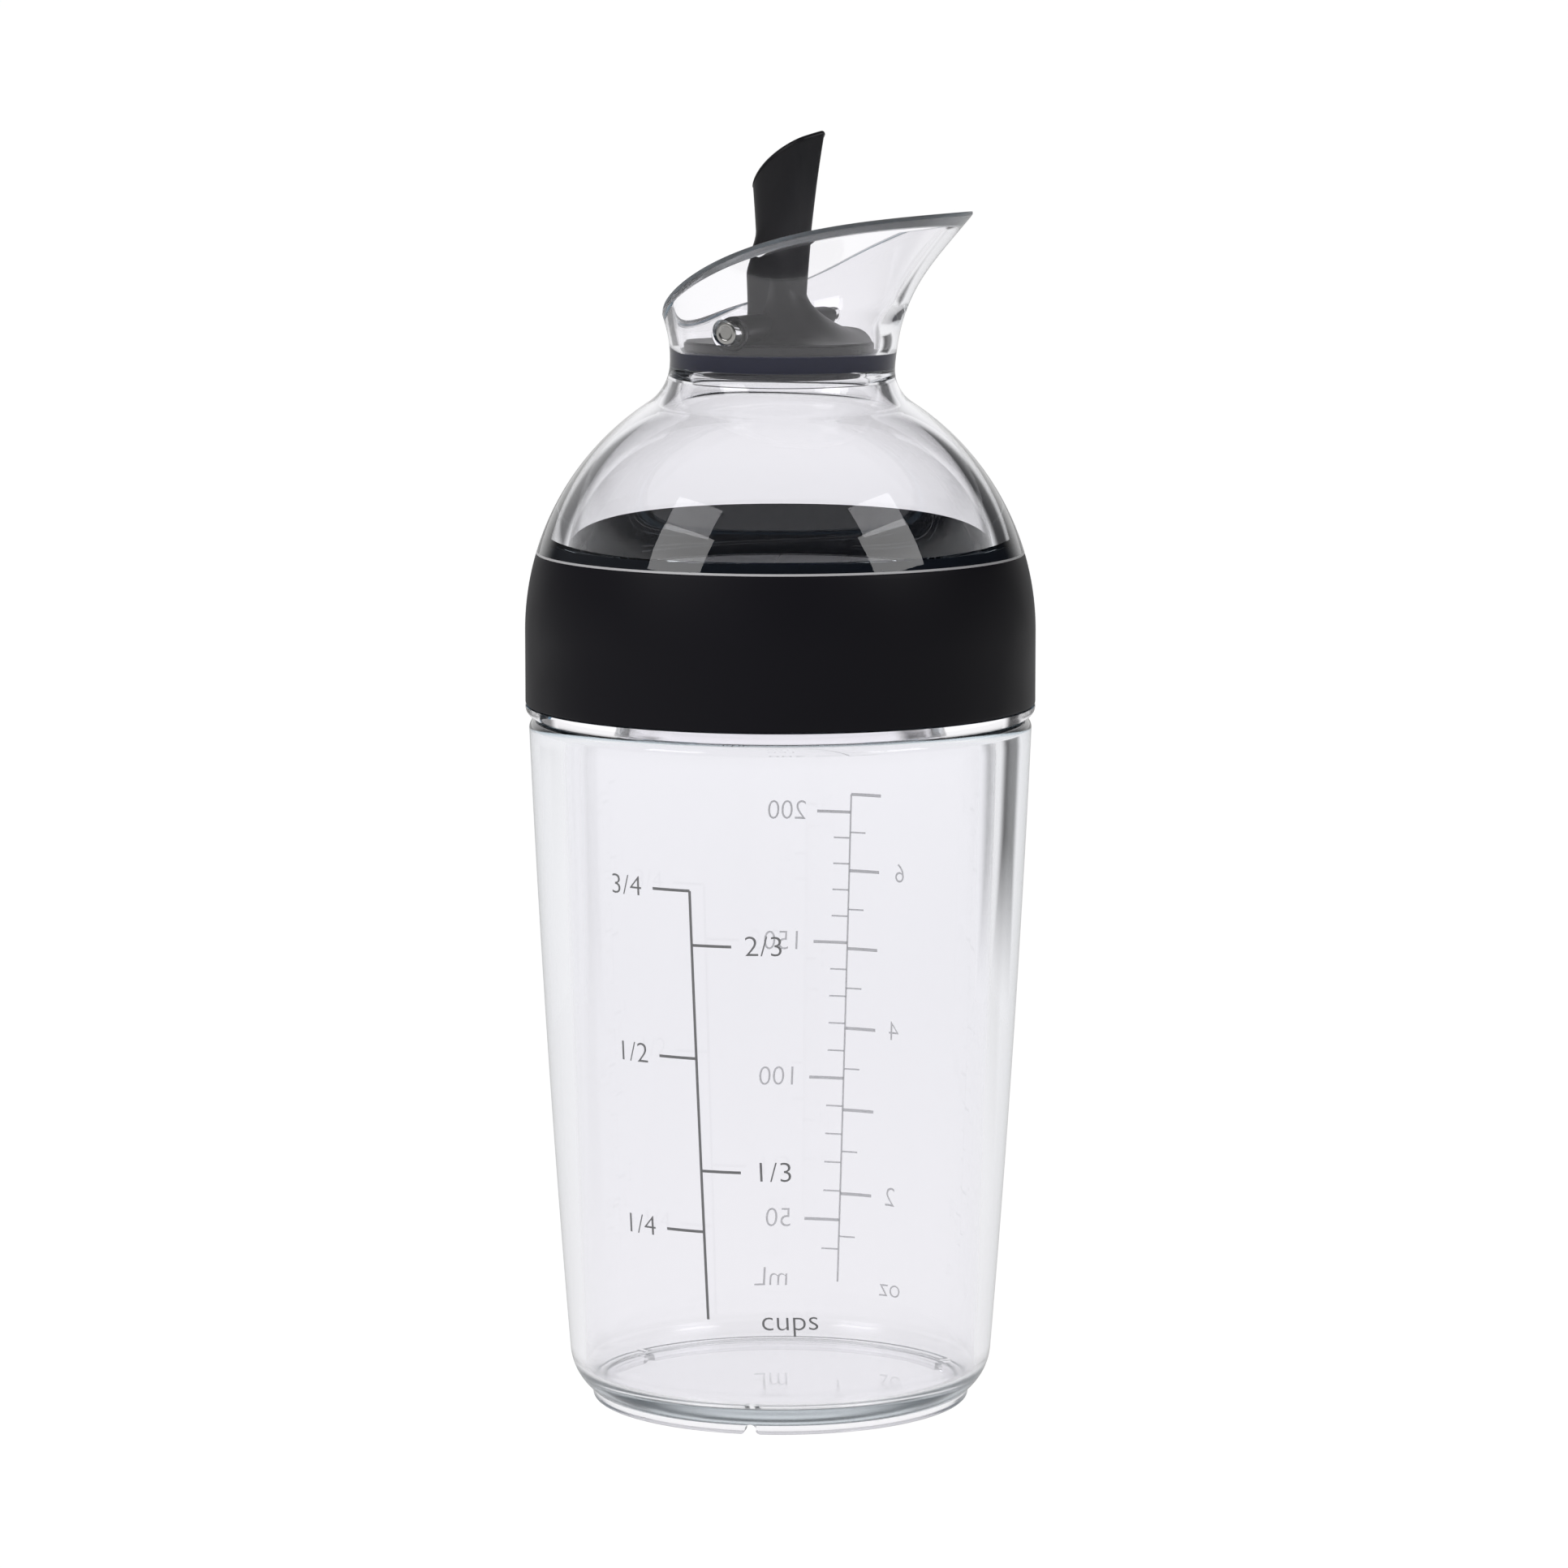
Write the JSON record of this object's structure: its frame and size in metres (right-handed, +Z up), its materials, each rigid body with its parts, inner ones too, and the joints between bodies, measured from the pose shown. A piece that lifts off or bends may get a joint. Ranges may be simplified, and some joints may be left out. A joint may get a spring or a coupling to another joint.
{
  "type": "salad dressing shaker bottle",
  "caption": "Clear shaker bottle for salad dressing: tapered tumbler, domed screw lid with a black grip band, flared pouring spout and a lever that tilts the stopper in its throat.",
  "frame": {"origin": "centre of the foot ring, on the surface that the bottle stands on", "axes": "+Z up along the bottle's axis, +X towards the spout's tip, +Y along the lever's pin"},
  "size_m": [0.0702, 0.0702, 0.1756],
  "materials": {
    "clear_plastic": "clear polished copolyester",
    "black_grip": "satin soft-touch elastomer",
    "clear_silicone": "translucent silicone",
    "black_plastic": "satin moulded",
    "dark_silicone": "smooth silicone",
    "grey_plastic": "satin moulded",
    "stainless_pin": "turned and polished ends"
  },
  "bodies": {
    "bottle": {"tumbler": "clear_plastic"},
    "lid_seal": {"rim_seal": "clear_silicone"},
    "lid": {"dome_spout": "clear_plastic", "grip_band": "black_grip", "pivot_pin": "stainless_pin"},
    "stopper": {"lever": "black_plastic", "stopper_gasket": "dark_silicone", "plug_base": "grey_plastic"}
  },
  "joints": [
    {"name": "lid_rise", "type": "slide", "parent": "bottle", "child": "lid_seal", "axis": [0, 0, 1], "range_m": [0, 0.005]},
    {"name": "lid_turn", "type": "hinge", "parent": "lid_seal", "child": "lid", "pos_m": [0, 0, 0.1], "axis": [0, 0, 1], "range_deg": [0, 200]},
    {"name": "lever_tilt", "type": "hinge", "parent": "lid", "child": "stopper", "pos_m": [0, 0, 0.1486], "axis": [0, -1, 0], "range_deg": [0, 60]}
  ],
  "couplings": [
    {"joint": "lid_rise", "follows": "lid_turn", "m_per_rad": 0.0014324}
  ]
}
